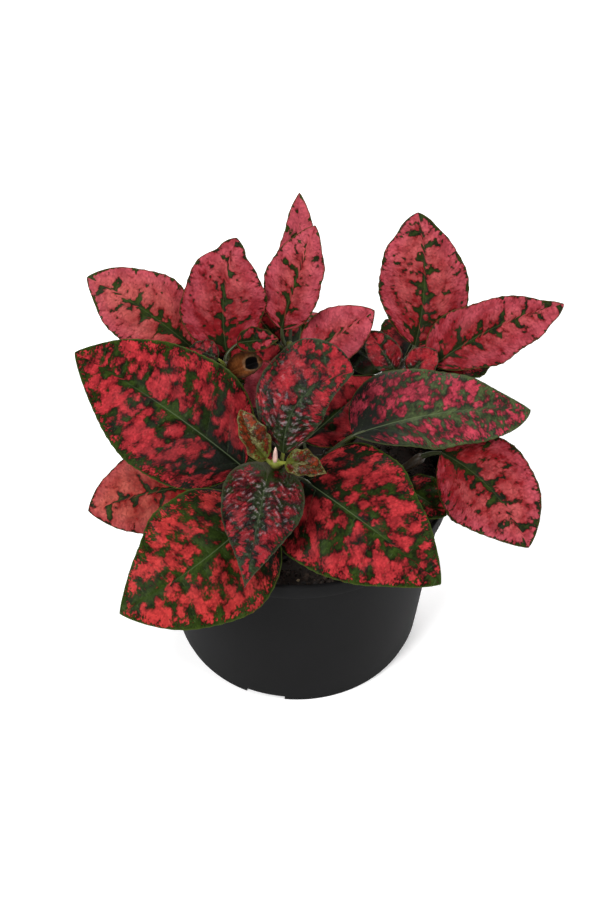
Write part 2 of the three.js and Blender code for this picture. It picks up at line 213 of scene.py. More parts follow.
# How a leaf's waxy skin and a stem's bend light, and what turns a warm leaf's red to orange, as factors
# of its red, green and blue
LEAF_IOR = 1.45
WARM_SHIFT = (1.0, 1.3, 0.72, 1.0)

# Settings that many nodes share: those of a soft ramp, of a flat pattern and of a mix of two colours
SOFT = {"interpolation_type": "SMOOTHSTEP"}
FLAT = {"voronoi_dimensions": "2D"}
COLOURS = {"out": 2, "data_type": "RGBA"}

# What a leaf has unless it says otherwise. Arch lifts the middle of the midrib, sway bends it to the
# right, lean widens the right half and narrows the left one, belly is where along it is widest, skew
# moves that place towards the tip in the right half and towards the foot in the left one, and full is
# how early it rounds off at both ends. Fold lifts both halves off the midrib and dome lowers their
# edges, as shares of the distance from the midrib. Lobe is how far the foot's two lobes reach back,
# ragged is how uneven the width is and neck is how much narrower the neck below the tip is.
# Quilt is the height of the blisters between the veins and blister is their size. Green is how much of
# the blade is green, from hardly any at -0.3 to most of it at 0.6, pale is how pale its red is and warm is
# how far that red leans to orange.
# Stalk is how much thicker than usual the petiole is at its joint. Skin is the finish of another kind of
# leaf.
PLAIN_LEAF = {
    "arch": 3, "sway": 0, "lean": 0, "belly": 0.42, "skew": 0, "full": 1.4,
    "fold": 0, "dome": 0.05, "lobe": 0, "ragged": 0.025, "neck": 0, "quilt": 0.12, "blister": 3.2,
    "green": 0.3, "pale": 0.5, "warm": 0, "stalk": 1,
}

# Each shoot: where its stem leaves the soil, where it ends, and its radius at the foot and at the tip
SHOOTS = {
    "front": dict(root=(-3, -14), tip=(-8, -36, 128), radius=(2.6, 1.7), bud=dict(radius=1.9, length=7)),
    "left": dict(root=(-13, 6), tip=(-28, 20, 124), radius=(2.4, 1.6)),
    "rear": dict(root=(0, 15), tip=(-3, 30, 125), radius=(2.5, 1.6)),
    "right": dict(root=(16, 10), tip=(41, 26, 119), radius=(2.4, 1.6)),
    "middle": dict(root=(9, -6), tip=(12, -9, 105), radius=(2.3, 1.6)),
    "side": dict(root=(24, -9), tip=(49, -4, 97), radius=(2.2, 1.6)),
    "low": dict(root=(-21, -13), tip=(-30, -19, 98), radius=(2, 1.4)),
}

# The leaves of each shoot: the height of a leaf's joint on the stem, where its blade starts and ends,
# its full width, the way that its upper surface looks, and what differs from a plain leaf
LEAVES = {
    "front": {
        "front_right": dict(
            joint=100, foot=(2, -28, 110), tip=(53, -66, 94), width=54, face=(0, -0.5, 0.9), arch=5,
            belly=0.27, full=1.15, green=0.43, dome=0.1, pale=0.5, warm=0.1,
        ),
        "front_left": dict(
            joint=103, foot=(-13, -41, 108), tip=(-65, -75, 88), width=52, face=(0, -0.6, 0.8), arch=5,
            sway=-3, belly=0.38, green=0.48, dome=0.12, pale=0.66, warm=0.45,
        ),
        "left_large": dict(
            joint=110, foot=(-20, -25, 113), tip=(-85, 21, 128), width=51, face=(-0.2, -0.55, 0.8), arch=5,
            sway=2, belly=0.38, green=0.44, dome=0.08, pale=0.5,
        ),
        "under_left": dict(
            joint=90, foot=(-9, -12, 95), tip=(-33, 2, 99), width=21, face=(0, -0.2, 0.9), arch=2, green=0.5,
        ),
        "centre_front": dict(
            joint=118, foot=(-11, -41, 124), tip=(-19, -74, 101), width=31, face=(0, -0.7, 0.7), belly=0.23,
            full=1.75, green=0.36, fold=0.12, dome=0.16, quilt=0.9, blister=2.3, lobe=8, pale=0.4, stalk=1.6,
        ),
        "centre_back": dict(
            joint=121, foot=(-5, -32, 128), tip=(21, -12, 150), width=30, face=(0, -0.6, 0.8), sway=-8,
            lean=-0.25, belly=0.5, skew=-0.12, green=0.34, dome=0.1, quilt=0.9, blister=2.6, pale=0.48,
        ),
        "young_left": dict(
            joint=125, foot=(-11, -36, 129.5), tip=(-20.5, -25, 144), width=12, face=(0.5, -0.6, 0.8),
            arch=2, sway=-2, green=0.15, fold=0.45, quilt=0.3, blister=1.6, stalk=1.7, pale=0.3,
        ),
        "young_right": dict(
            joint=125, foot=(-4, -38, 130), tip=(11, -42, 128), width=11, face=(0, -0.4, 0.9), arch=2,
            belly=0.36, full=1.8, green=0.15, fold=0.45, quilt=0.3, blister=1.6, stalk=1.7, pale=0.2,
        ),
    },
    "left": {
        "rear_left": dict(
            joint=119, foot=(-27, 25, 124), tip=(-23, 53, 158), width=33, face=(0, -0.8, 0.6), arch=2,
            sway=-3, green=0.04, fold=0.06, pale=0.25, ragged=0.05, neck=0.22,
        ),
        "left_upper": dict(
            joint=117, foot=(-40, 29, 122), tip=(-81, 47, 143), width=32, face=(-0.1, -0.7, 0.7), sway=2,
            green=0.12, pale=0.6, ragged=0.04, warm=0.3,
        ),
        "left_tip_right": dict(
            joint=122, foot=(-23, 25, 129), tip=(-7, 24, 132), width=10, face=(0, -0.5, 0.9), arch=1,
            green=0, fold=0.4, quilt=0.2, blister=1.6, skin="leaf_pink", pale=0,
        ),
        "left_tip_left": dict(
            joint=122, foot=(-30, 18, 127.5), tip=(-41, 23, 129), width=11, face=(0, -0.6, 0.8), arch=1,
            green=-0.1, fold=0.1, quilt=0.5, blister=1.2, dome=0.15,
        ),
        "left_curled": dict(
            joint=115, foot=(-26, 13.5, 124.5), tip=(-13, 17.5, 127), width=10, face=(0, -0.6, 0.8), arch=1,
            green=0.1, fold=0.9, dome=-0.3, skin="rolled", quilt=0.13,
        ),
        "back_left_upper": dict(
            joint=111, foot=(-24, 42, 112), tip=(-37, 68, 114), width=24, face=(0, -0.2, 0.9), green=0.3,
        ),
        "back_left": dict(
            joint=106, foot=(-28, 34, 104), tip=(-58, 66, 100), width=34, face=(0, 0.3, 0.9), arch=4,
            green=0.4,
        ),
        "left_lower": dict(
            joint=99, foot=(-30, 16, 100), tip=(-76, 34, 97), width=34, face=(-0.2, 0.1, 0.9), arch=4,
            green=0.4,
        ),
    },
    "rear": {
        "rear_middle": dict(
            joint=122, foot=(-6, 32, 130), tip=(7, 51, 166), width=24, face=(-0.4, -0.8, 0.4), arch=2,
            green=-0.02, fold=0.22, pale=0.52, warm=0.1,
        ),
        "rear_top": dict(
            joint=119, foot=(-2, 40, 128), tip=(1, 63, 172), width=16, face=(0.2, -0.8, 0.5), arch=2,
            green=-0.25, fold=0.3, pale=0.75,
        ),
        "rear_pink": dict(
            joint=117, foot=(2, 25, 122), tip=(30, 38, 134), width=22, face=(0, -0.7, 0.7), arch=2,
            green=-0.22, pale=0.4,
        ),
        "rear_behind": dict(
            joint=116, foot=(-7, 38, 117), tip=(-18, 52, 122), width=17, face=(-0.1, -0.7, 0.7), arch=2,
            belly=0.35, green=0.1,
        ),
        "rear_under": dict(
            joint=108, foot=(-6, 23, 111), tip=(-26, 36, 118), width=22, face=(0, -0.4, 0.9), arch=2,
            green=0.15,
        ),
        "rear_folded": dict(
            joint=112, foot=(-4, 24, 118), tip=(-19, 5, 114), width=20, face=(0, -0.3, 0.9), arch=2,
            green=-0.1, pale=0.5, skin="leaf_pink",
        ),
        "back_middle_upper": dict(
            joint=106, foot=(8, 40, 109), tip=(16, 62, 110), width=20, face=(0, -0.2, 0.9), green=0.25,
        ),
        "back_middle": dict(
            joint=103, foot=(0, 44, 103), tip=(4, 80, 94), width=30, face=(0, 0.3, 0.9), arch=4, green=0.4,
        ),
    },
    "right": {
        "right_upright": dict(
            joint=114, foot=(46, 35, 118), tip=(47, 70, 156), width=36, face=(0, -0.75, 0.65), arch=2,
            sway=3, skew=-0.07, full=1.25, green=0.14, fold=0.05, pale=0.4, neck=0.1, warm=0.1,
        ),
        "right_upper": dict(
            joint=111, foot=(53, 26, 116), tip=(104, 46, 130), width=27, face=(0.1, -0.6, 0.8), sway=-3,
            belly=0.38, skew=0.1, green=0.02, fold=0.12, pale=0.32, ragged=0.06, neck=0.12,
        ),
        "right_tip_left": dict(
            joint=114, foot=(38, 22.5, 116.5), tip=(28, 35, 126), width=13, face=(0, -0.7, 0.7), arch=1,
            green=-0.1, fold=0.5, quilt=0.6, blister=1.8, pale=0.6,
        ),
        "right_tip_right": dict(
            joint=116, foot=(43, 21, 117), tip=(54, 27, 123), width=13, face=(0, -0.7, 0.7), arch=1,
            green=-0.15, fold=0.3, quilt=0.6, blister=1.8, pale=0.6,
        ),
        "back_right_upper": dict(
            joint=108, foot=(52, 43, 109), tip=(70, 64, 111), width=22, face=(0, -0.2, 0.9), green=0.3,
        ),
        "back_right": dict(
            joint=104, foot=(42, 42, 103), tip=(60, 80, 98), width=32, face=(0, 0.3, 0.9), arch=4, green=0.4,
        ),
        "right_lower": dict(
            joint=98, foot=(50, 34, 99), tip=(84, 65, 96), width=27, face=(0.2, 0.2, 0.9), green=0.4,
        ),
        # This leaf is coloured the darkest green, a painted shade for the deep shadow between the leaves
        # here.
        "right_shaded": dict(
            joint=110, foot=(35, 29, 112), tip=(16, 41, 115), width=16, face=(0, -0.5, 0.8), arch=2,
            green=1.2, pale=-1,
        ),
        "right_inner": dict(
            joint=92, foot=(46, 13, 95), tip=(80, 20, 92), width=26, face=(0, 0, 1), arch=4, green=0.4,
        ),
    },
    "middle": {
        "right_large": dict(
            joint=103, foot=(21, -15, 120), tip=(89, 2, 116), width=35, face=(0, -0.4, 0.9), arch=5, sway=-2,
            lean=-0.2, skew=0.13, green=0.48, dome=0.06, skin="dull", pale=0.42,
        ),
        "under_middle": dict(
            joint=101, foot=(3, -8, 109), tip=(33, 23, 113), width=25, face=(0, -0.4, 0.9), arch=2,
            green=0.15, pale=0.5,
        ),
    },
    "side": {
        "right_low": dict(
            joint=95, foot=(55, -8, 103), tip=(87, -44, 89), width=37, face=(0, -0.6, 0.8), arch=4, sway=-4,
            green=0.2, dome=0.1, pale=0.3, skin="leaf_pink", warm=0.1,
        ),
        "under_right": dict(
            joint=88, foot=(39, -13, 90), tip=(57, -27, 88), width=20, face=(0, -0.3, 0.9), arch=2,
            green=0.45,
        ),
    },
    "low": {
        "left_low": dict(
            joint=94, foot=(-37, -22, 100), tip=(-79, -29, 93), width=32, face=(0, -0.6, 0.8), sway=1,
            green=-0.05, dome=0.06, pale=0.28, warm=0.8,
        ),
        "left_inner": dict(
            joint=90, foot=(-31, -6, 95), tip=(-68, 3, 94), width=28, face=(-0.1, 0, 1), arch=4, green=0.3,
        ),
    },
}

# The leaf that has dried and rolled up: its length, and where the hollow in it is and how large
ROLLED_LENGTH = 13.8
HOLLOW_AT = 9.2
HOLLOW_RADIUS = 2.3

# How many points a smooth curve is first drawn with between two that are given
CURVE_POINTS = 24

# The camera: the photo's angle and distance, aimed at the middle of the plant, and how far it sees
CAMERA_AIM = (1.2, 0, 95.8)
CAMERA_ELEVATION = 46.8
CAMERA_DISTANCE = 900
CAMERA_LENS = 93.2
CAMERA_SIGHT = 20000

# The light: a dim white room and three round softboxes aimed as the camera is, each with its place and
# its power in watts
ROOM_LIGHT = 0.1
SOFTBOX_WIDTH = 700
SOFTBOXES = {
    "softbox over the back": ((150, 900, 1150), 13),
    "softbox over the front left": ((-700, -900, 1300), 25),
    "softbox over the right": ((900, -500, 1200), 10),
}
FLOOR_REACH = 6000


# Small tools

def tint(code):
    """An sRGB hex colour as linear red, green, blue and alpha."""
    channels = [int(code[i : i + 2], 16) / 255 for i in (1, 3, 5)]
    return tuple(c / 12.92 if c <= 0.04045 else ((c + 0.055) / 1.055) ** 2.4 for c in channels) + (1.0,)


def unit(vectors):
    return vectors / np.linalg.norm(vectors, axis=-1, keepdims=True)


def mix(start, end, share):
    return start + (end - start) * share


def smooth_path(points, step):
    """Points at even spaces along a smooth curve through the given points."""
    points = np.array(points, float)
    points = np.vstack([2 * points[0] - points[1], points, 2 * points[-1] - points[-2]])
    drawn = []
    for a, b, c, d in zip(points[:-3], points[1:-2], points[2:-1], points[3:]):
        # The knots are spaced by the square root of the distance, which keeps the curve from looping.
        knots = np.cumsum([0] + [math.sqrt(np.linalg.norm(q - p)) for p, q in ((a, b), (b, c), (c, d))])
        t = np.linspace(knots[1], knots[2], CURVE_POINTS)[:, None]

        def between(low, high, start, end):
            return (start * (knots[high] - t) + end * (t - knots[low])) / (knots[high] - knots[low])

        ab, bc, cd = between(0, 1, a, b), between(1, 2, b, c), between(2, 3, c, d)
        drawn.append(between(1, 2, between(0, 2, ab, bc), between(1, 3, bc, cd)))
    drawn = np.vstack(drawn)
    lengths = np.concatenate([[0], np.cumsum(np.linalg.norm(np.diff(drawn, axis=0), axis=1))])
    even = np.linspace(0, lengths[-1], max(4, round(lengths[-1] / step)) + 1)
    return np.column_stack([np.interp(even, lengths, drawn[:, axis]) for axis in range(3)])


def rod(path, radii, sides):
    """The points and faces of a round rod along a path, closed at both ends."""
    along = unit(np.gradient(path, axis=0))
    # The first ring may start anywhere round the rod: any direction will do that isn't the rod's own.
    across = unit(np.cross(along[0], (0.3, 0.9, 0.2)))
    rings = []
    for centre, direction, radius in zip(path, along, radii):
        across = unit(across - direction * np.dot(across, direction))
        beside = np.cross(direction, across)
        turn = np.linspace(0, 2 * math.pi, sides, endpoint=False)[:, None]
        rings.append(centre + radius * (np.cos(turn) * across + np.sin(turn) * beside))
    faces = []
    for ring in range(len(rings) - 1):
        for side in range(sides):
            beside = (side + 1) % sides
            low, high = ring * sides, (ring + 1) * sides
            faces.append([low + side, low + beside, high + beside, high + side])
    faces.append(list(range(sides))[::-1])
    faces.append([(len(rings) - 1) * sides + side for side in range(sides)])
    return np.vstack(rings), faces


def blisters(x, y, size, seed):
    """Heights from 0 in the creases to 1 on top of rounded cells that are about size across."""
    column, row = np.floor(x / size), np.floor(y / size)
    nearest, second = np.full(x.shape, 9.0), np.full(x.shape, 9.0)
    for across in (-1, 0, 1):
        for along in (-1, 0, 1):
            # Large factors make the sine jump from cell to cell, which scatters their middles.
            draw = np.sin((column + across) * 127.1 + (row + along) * 311.7 + seed) * 43758.5
            middle_x = column + across + (draw % 1) * 0.8 + 0.1
            middle_y = row + along + (draw * 7.3 % 1) * 0.8 + 0.1
            distance = np.hypot(x / size - middle_x, y / size - middle_y)
            second = np.minimum(second, np.maximum(distance, nearest))
            nearest = np.minimum(nearest, distance)
    return 1 - np.exp(-BLISTER_STEEPNESS * (second - nearest))


def make_mesh(name, points, faces, skins, face_skins=None, marks=None):
    """An object from points in millimetres. marks are named values for each point, for its materials."""
    mesh = bpy.data.meshes.new(name)
    mesh.from_pydata((np.asarray(points) * MM).tolist(), [], faces)
    for skin in skins:
        mesh.materials.append(skin)
    if face_skins is not None:
        mesh.polygons.foreach_set("material_index", face_skins)
    for mark, values in (marks or {}).items():
        kind = "FLOAT" if np.ndim(values) == 1 else "FLOAT_VECTOR"
        layer = mesh.attributes.new(mark, kind, "POINT")
        layer.data.foreach_set("value" if kind == "FLOAT" else "vector", np.ravel(values).astype(np.float32))
    tidy = bmesh.new()
    tidy.from_mesh(mesh)
    bmesh.ops.remove_doubles(tidy, verts=tidy.verts, dist=1e-6)
    tidy.to_mesh(mesh)
    tidy.free()
    mesh.shade_smooth()
    made = bpy.data.objects.new(name, mesh)
    bpy.context.scene.collection.objects.link(made)
    return made


slots = {part["node"]: part["material_slot"] for part in frame["record"]["subparts"]}


def stand_for(made, node):
    """made is shown in place of a node of the frame."""
    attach(made, "root")
    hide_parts(node)


# Materials

def plug(node, sockets):
    """Sets a node's sockets, given by name or in their order, and links those that get an output."""
    for socket, value in sockets.items() if isinstance(sockets, dict) else enumerate(sockets):
        if isinstance(value, bpy.types.NodeSocket):
            node.id_data.links.new(value, node.inputs[socket])
        else:
            node.inputs[socket].default_value = value


def add_node(tree, kind, sockets=(), out=0, **settings):
    """Adds a node with its settings and links, and returns one of its outputs."""
    made = tree.nodes.new(f"ShaderNode{kind}")
    for name, value in settings.items():
        setattr(made, name, value)
    plug(made, sockets)
    return made.outputs[out]


def new_skin(name):
    """A material with one Principled surface, what adds a node to it, and that surface."""
    skin = bpy.data.materials.new(name)
    skin.use_nodes = True
    surface = next(n for n in skin.node_tree.nodes if n.type == "BSDF_PRINCIPLED")
    return skin, partial(add_node, skin.node_tree), surface


def leaf_marks(add, *marks):
    """What each point of a blade knows about itself: its place, then the three parts of each mark.

    place is where it lies across and along the veins, in millimetres. near is how far it is from the
    midrib, the nearest side vein and the edge, in millimetres. growth is how green its leaf is, how far
    it is along the blade, as a share, and the leaf's own draw. tone is how pale and how warm its leaf's
    red is, and how far it stands above or below half the height of its blister.
    """
    marks = (add("Attribute", out="Vector", attribute_name=mark) for mark in ("place", *marks))
    place, *others = marks
    return place, *(add("SeparateXYZ", (other,)).node.outputs for other in others)


def mottling(add, place, near, growth, cell=0.9, dot=4.0, stretch=0.9, veined=1.0):
    """Above 0 where the blade is green and below 0 where it is red, lowest in the middle of an island.

    Red dots run together into lobed islands where they are many, and stand alone on green where they
    are few. The leaf is made of cells about a millimetre across, which roughen the islands' outlines.
    cell and dot are sizes in millimetres, stretch is how long an island is along the blade, as a share
    of its length across it, and veined is how much green the side veins draw.
    """
    from_midrib, from_vein, from_edge = near
    green, along, draw = growth
    cells = add("TexVoronoi", {"Vector": place, "Scale": 1 / cell}, out="Position", **FLAT)
    stepped = add("Mix", {"Factor": CELL_SHARE, 4: place, 5: cells}, out=1, data_type="VECTOR")
    shift = add("CombineXYZ", (draw, draw, draw))
    placed = add("VectorMath", (stepped, (stretch, 1.0, 1.0), shift), operation="MULTIPLY_ADD")
    patches = {"Scale": 1 / (PATCH * dot), "Detail": 2.0, "Roughness": 0.5, "Distortion": 0.6}
    field = add("TexNoise", {"Vector": placed, **patches}, out="Fac")
    # The dots aren't round: the ground that they are drawn on is pulled about.
    pull = add("TexNoise", {"Vector": placed, "Scale": 1.3 / dot, "Detail": 1.5}, out="Color")
    pull = add("VectorMath", (pull, (0.5, 0.5, 0.5)), operation="SUBTRACT")
    pulled = add("VectorMath", (pull, (PULL * dot, PULL * dot, 0.0), placed), operation="MULTIPLY_ADD")
    dots = add("TexVoronoi", {"Vector": pulled, "Scale": 1 / dot}, out="Distance", **FLAT)
    dots = add("MapRange", (dots, 0.0, 1.0, -DOT_SHARE, DOT_SHARE))
    # Here and there a red island has a green eye.
    eyes = add("TexVoronoi", {"Vector": placed, "Scale": 1 / (EYE_SPACING * dot)}, out="Distance", **FLAT)
    eyes = add("MapRange", (eyes, 0.0, 0.2, 0.22, 0.0))
    # Green lines the midrib, lies beside it in a band that thins towards the tip, and branches along
    # the side veins.
    on_midrib = add("MapRange", (from_midrib, 0.3, 1.5, 0.25, 0.0), **SOFT)
    at_midrib = add("MapRange", (from_midrib, 0.6, 6.5, 0.12, 0.0), **SOFT)
    at_midrib = add("Math", (at_midrib, on_midrib), operation="ADD")
    band = add("MapRange", (along, 0.25, 0.95, 1.2, 0.1))
    at_midrib = add("Math", (at_midrib, band), operation="MULTIPLY")
    at_vein = add("MapRange", (from_vein, 0.2, 1.8, 0.14 * veined, 0.0), **SOFT)
    branch = add("MapRange", (from_midrib, 2.0, 9.0, 1.0, 0.15), **SOFT)
    at_vein = add("Math", (at_vein, branch), operation="MULTIPLY")
    # Near the edge the islands break up into a fine speckle on green, the more so on a greener leaf,
    # and the edge itself is green.
    speckle = add("TexNoise", {"Vector": placed, "Scale": 1.1 / cell, "Detail": 1.0}, out="Fac")
    speckle = add("Math", (speckle, 0.5), operation="SUBTRACT")
    near_edge = add("MapRange", (from_edge, 0.6, 1.5 * dot, 1.0, 0.3), **SOFT)
    speckled = add("MapRange", (green, 0.0, 0.5, 0.5, 1.1))
    speckled = add("Math", (speckled, near_edge), operation="MULTIPLY")
    speckle = add("Math", (speckle, speckled), operation="MULTIPLY")
    margin = add("Math", (near_edge, green), operation="MULTIPLY")
    margin = add("Math", (margin, MARGIN), operation="MULTIPLY")
    at_edge = add("MapRange", (from_edge, 0.4, 1.6, 0.26, 0.0))
    for part in (dots, eyes, at_vein, at_midrib, speckle, margin, at_edge):
        field = add("Math", (field, part), operation="ADD")
    limit = add("MapRange", (green, -0.3, 0.6, 0.875, 0.5))
    return add("Math", (field, limit), operation="SUBTRACT")


def island_red(add, above, shades, near, growth, tone, reds, rim):
    """The red of the islands, palest in their middle and on some leaves near the rim, and darkened towards
    the foot by painted shade.

    A warm leaf's red leans to orange, and a pink leaf's the more so away from its rim.
    """
    inside = add("MapRange", (above, -0.2, 0.0, 0.16, -0.3))
    # Painted shade: the red darkens towards the blade's foot.
    red_foot_shade = add("MapRange", (growth["Y"], 0.15, 0.7, -0.26, 0.2))
    inside = add("Math", (inside, red_foot_shade), operation="ADD")
    at_rim = add("MapRange", (near["Z"], 0.5, 8.0, rim, -rim / 2), **SOFT)
    inside = add("Math", (inside, at_rim), operation="ADD")
    inside = add("Math", (shades, inside), operation="ADD", use_clamp=True)
    red = add("Mix", {"Factor": inside, 6: tint(reds[0]), 7: tint(reds[1])}, **COLOURS)
    warmth = add("MapRange", (near["Z"], 1.0, 8.0, -2.5 * rim, 3.5 * rim))
    warmth = add("Math", (tone["Y"], warmth), operation="ADD", use_clamp=True)
    return add("Mix", {"Factor": warmth, 6: red, 7: WARM_SHIFT}, blend_type="MULTIPLY", **COLOURS)


def ground_green(add, above, shades, growth, greens, foot):
    """The green between the islands, freshest well away from them, and near the foot turned to the foot
    colour, which on the red and dull leaves is a near-black painted shade.
    """
    fresh = add("MapRange", (above, 0.0, 0.3, -0.45, 0.4))
    fresh = add("Math", (shades, fresh), operation="ADD", use_clamp=True)
    green = add("Mix", {"Factor": fresh, 6: tint(greens[0]), 7: tint(greens[1])}, **COLOURS)
    # Painted shade on the red and dull leaves: near the foot the green turns to the near-black foot colour.
    at_foot_shade = add("MapRange", (growth["Y"], 0.1, 0.42, 0.95, 0.0), **SOFT)
    return add("Mix", {"Factor": at_foot_shade, 6: green, 7: tint(foot)}, **COLOURS)


def midrib_and_edge(add, coloured, near, growth, hairline, edge):
    """A pale hairline along the midrib, which fades before the tip, fainter ones on the side veins, and a
    thin green edge.
    """
    on_midrib = add("MapRange", (near["X"], 0.08, 0.28, 0.32, 0.0))
    fades = add("MapRange", (growth["Y"], 0.35, 0.75, 1.0, 0.0))
    on_midrib = add("Math", (on_midrib, fades), operation="MULTIPLY")
    on_vein = add("MapRange", (near["Y"], 0.06, 0.25, 0.16, 0.0))
    on_vein = add("Math", (on_midrib, on_vein), operation="MAXIMUM")
    veined = add("Mix", {"Factor": on_vein, 6: coloured, 7: tint(hairline)}, **COLOURS)
    on_edge = add("MapRange", (near["Z"], 0.2, 0.7, 0.8, 0.0))
    return add("Mix", {"Factor": on_edge, 6: veined, 7: tint(edge)}, **COLOURS)


def leaf_upper(
    name, reds, greens, foot, edge, hairline, roughness=0.42, specular=0.06, coat=0.0, crinkle=0.25,
    softness=0.1, rim=0.0, painted_sheen=0.0, **pattern,
):
    """The upper surface of a leaf.

    A waxy skin over coloured cells: red islands on green, a thin green edge, a pale hairline on the
    midrib and a soft gloss. Near its foot the blade turns to its foot colour, a near-black painted shade
    on the red leaves; its creases are darkened with painted shade, and the tops of a young leaf's
    blisters carry a pale painted highlight.
    """
    skin, add, surface = new_skin(name)
    place, near, growth, tone = leaf_marks(add, "near", "growth", "tone")
    above = mottling(add, place, near, growth, **pattern)
    is_green = add("MapRange", (above, -softness, softness, 0.0, 1.0), **SOFT)
    shades = add("TexNoise", {"Vector": place, "Scale": 1 / CLOUD_SIZE, "Detail": 2.0}, out="Fac")
    shades = add("MapRange", (shades, 0.36, 0.64, -0.3, 0.3))
    shades = add("Math", (shades, tone["X"]), operation="ADD", use_clamp=True)
    red = island_red(add, above, shades, near, growth, tone, reds, rim)
    green = ground_green(add, above, shades, growth, greens, foot)
    mottled = add("Mix", {"Factor": is_green, 6: red, 7: green}, **COLOURS)
    # Single cells lie a little lighter or darker than their neighbours.
    grain = add("TexVoronoi", {"Vector": place, "Scale": 1 / GRAIN_SIZE}, out="Color", **FLAT)
    grain = add("SeparateColor", (grain,))
    grain = add("MapRange", (grain, 0.0, 1.0, 0.75, 1.25))
    # A pale painted highlight on the tops of a young leaf's blisters, on the bronze leaves also their pale
    # speckle, and painted shade darkening the creases.
    painted_glint = add("MapRange", (tone["Z"], 0.1, 0.8, 0.0, painted_sheen))
    mottled = add("Mix", {"Factor": painted_glint, 6: mottled, 7: tint("#94878A")}, **COLOURS)
    crease_shade = add("MapRange", (tone["Z"], -0.7, 0.1, 0.22, 1.0))
    depth = add("Math", (grain, crease_shade), operation="MULTIPLY")
    grained = add("VectorMath", {0: mottled, "Scale": depth}, operation="SCALE")
    lined = midrib_and_edge(add, grained, near, growth, hairline, edge)
    fine = add("TexNoise", {"Vector": place, "Scale": 1 / PORE_SIZE, "Detail": 3.0}, out="Fac")
    bumps = add("Bump", {"Strength": 0.35, "Distance": crinkle * MM, "Height": fine})
    plug(surface, {
        "Base Color": lined, "Normal": bumps, "Coat Normal": bumps, "Roughness": roughness, "IOR": LEAF_IOR,
        "Specular IOR Level": specular, "Coat Weight": coat, "Coat Roughness": 0.16,
    })
    return skin


def leaf_underside(name, red, green):
    """The underside of a leaf: the same islands seen dimly through a paler, matt skin."""
    skin, add, surface = new_skin(name)
    above = mottling(add, *leaf_marks(add, "near", "growth"))
    is_green = add("MapRange", (above, -0.1, 0.1, 0.0, 1.0), **SOFT)
    mottled = add("Mix", {"Factor": is_green, 6: tint(red), 7: tint(green)}, **COLOURS)
    plug(surface, {"Base Color": mottled, "Roughness": 0.6, "IOR": LEAF_IOR, "Specular IOR Level": 0.15})
    return skin


def rolled_leaf(name, paper, rim, hollow):
    """A leaf that has dried and rolled up: orange-brown paper, and a rim round a hollow that is painted near
    black as shade.
    """
    skin, add, surface = new_skin(name)
    place, near, growth = leaf_marks(add, "near", "growth")
    beyond = add("Math", (growth["Y"], ROLLED_LENGTH, -HOLLOW_AT), operation="MULTIPLY_ADD")
    from_hollow = add("CombineXYZ", (beyond, near["X"]))
    from_hollow = add("VectorMath", (from_hollow,), out="Value", operation="LENGTH")
    ragged = add("TexNoise", {"Vector": place, "Scale": 1 / RAG_SIZE, "Detail": 1.0}, out="Fac")
    ragged = add("MapRange", (ragged, 0.3, 0.7, -0.35, 0.35))
    from_hollow = add("Math", (from_hollow, ragged), operation="ADD")
    outside = add("MapRange", (from_hollow, HOLLOW_RADIUS, HOLLOW_RADIUS + 0.4, 0.0, 1.0))
    off_rim = add("MapRange", (from_hollow, HOLLOW_RADIUS + 0.6, HOLLOW_RADIUS + 1.4, 0.0, 1.0))
    toned = add("Mix", {"Factor": off_rim, 6: tint(rim), 7: tint(paper)}, **COLOURS)
    toned = add("Mix", {"Factor": outside, 6: tint(hollow), 7: toned}, **COLOURS)
    # The paper is fibrous, and painted shade darkens it along its edge, where it turns down.
    fibres = add("TexNoise", {"Vector": place, "Scale": 1 / FIBRE_SIZE, "Detail": 3.0}, out="Fac")
    fibres = add("MapRange", (fibres, 0.3, 0.7, 0.6, 1.3))
    rolled_edge_shade = add("MapRange", (near["Z"], 0.2, 2.6, 0.2, 1.0), **SOFT)
    fibres = add("Math", (fibres, rolled_edge_shade), operation="MULTIPLY")
    toned = add("VectorMath", {0: toned, "Scale": fibres}, operation="SCALE")
    plug(surface, {"Base Color": toned, "Roughness": 0.7, "IOR": LEAF_IOR, "Specular IOR Level": 0.1})
    return skin


def fresh_stem(name, low, high, bottom, top):
    """Fresh stem: smooth and juicy, and a little cloudy in tone.

    A stem is brown-green low down and yellow-green where it still grows, and a bud is pale pink.
    """
    skin, add, surface = new_skin(name)
    place = add("TexCoord", out="Object")
    height = add("SeparateXYZ", (place,), out="Z")
    height = add("MapRange", (height, bottom * MM, top * MM, 0.0, 1.0))
    clouds = add("TexNoise", {"Vector": place, "Scale": 1 / (STEM_CLOUD_SIZE * MM), "Detail": 2.0}, out="Fac")
    clouds = add("MapRange", (clouds, 0.3, 0.7, 0.75, 1.2))
    grown = add("Mix", {"Factor": height, 6: tint(low), 7: tint(high)}, **COLOURS)
    clouded = add("VectorMath", {0: grown, "Scale": clouds}, operation="SCALE")
    plug(surface, {"Base Color": clouded, "Roughness": 0.45, "IOR": LEAF_IOR})
    return skin


def moulded_polypropylene(name):
    """Black injection-moulded polypropylene: dark grey, matt, with a very slight orange-peel."""
    skin, add, surface = new_skin(name)
    place = add("TexCoord", out="Object")
    cloud, peel = (
        add("TexNoise", {"Vector": place, "Scale": 1 / (size * MM), "Detail": 2.0}, out="Fac")
        for size in (POT_CLOUD_SIZE, PEEL_SIZE)
    )
    toned = add("Mix", {"Factor": cloud, 6: tint("#131313"), 7: tint("#171718")}, **COLOURS)
    bumps = add("Bump", {"Strength": 0.25, "Distance": 0.1 * MM, "Height": peel})
    plug(surface, {
        "Base Color": toned, "Normal": bumps, "Roughness": 0.6, "IOR": 1.49, "Specular IOR Level": 0.04,
    })
    return skin


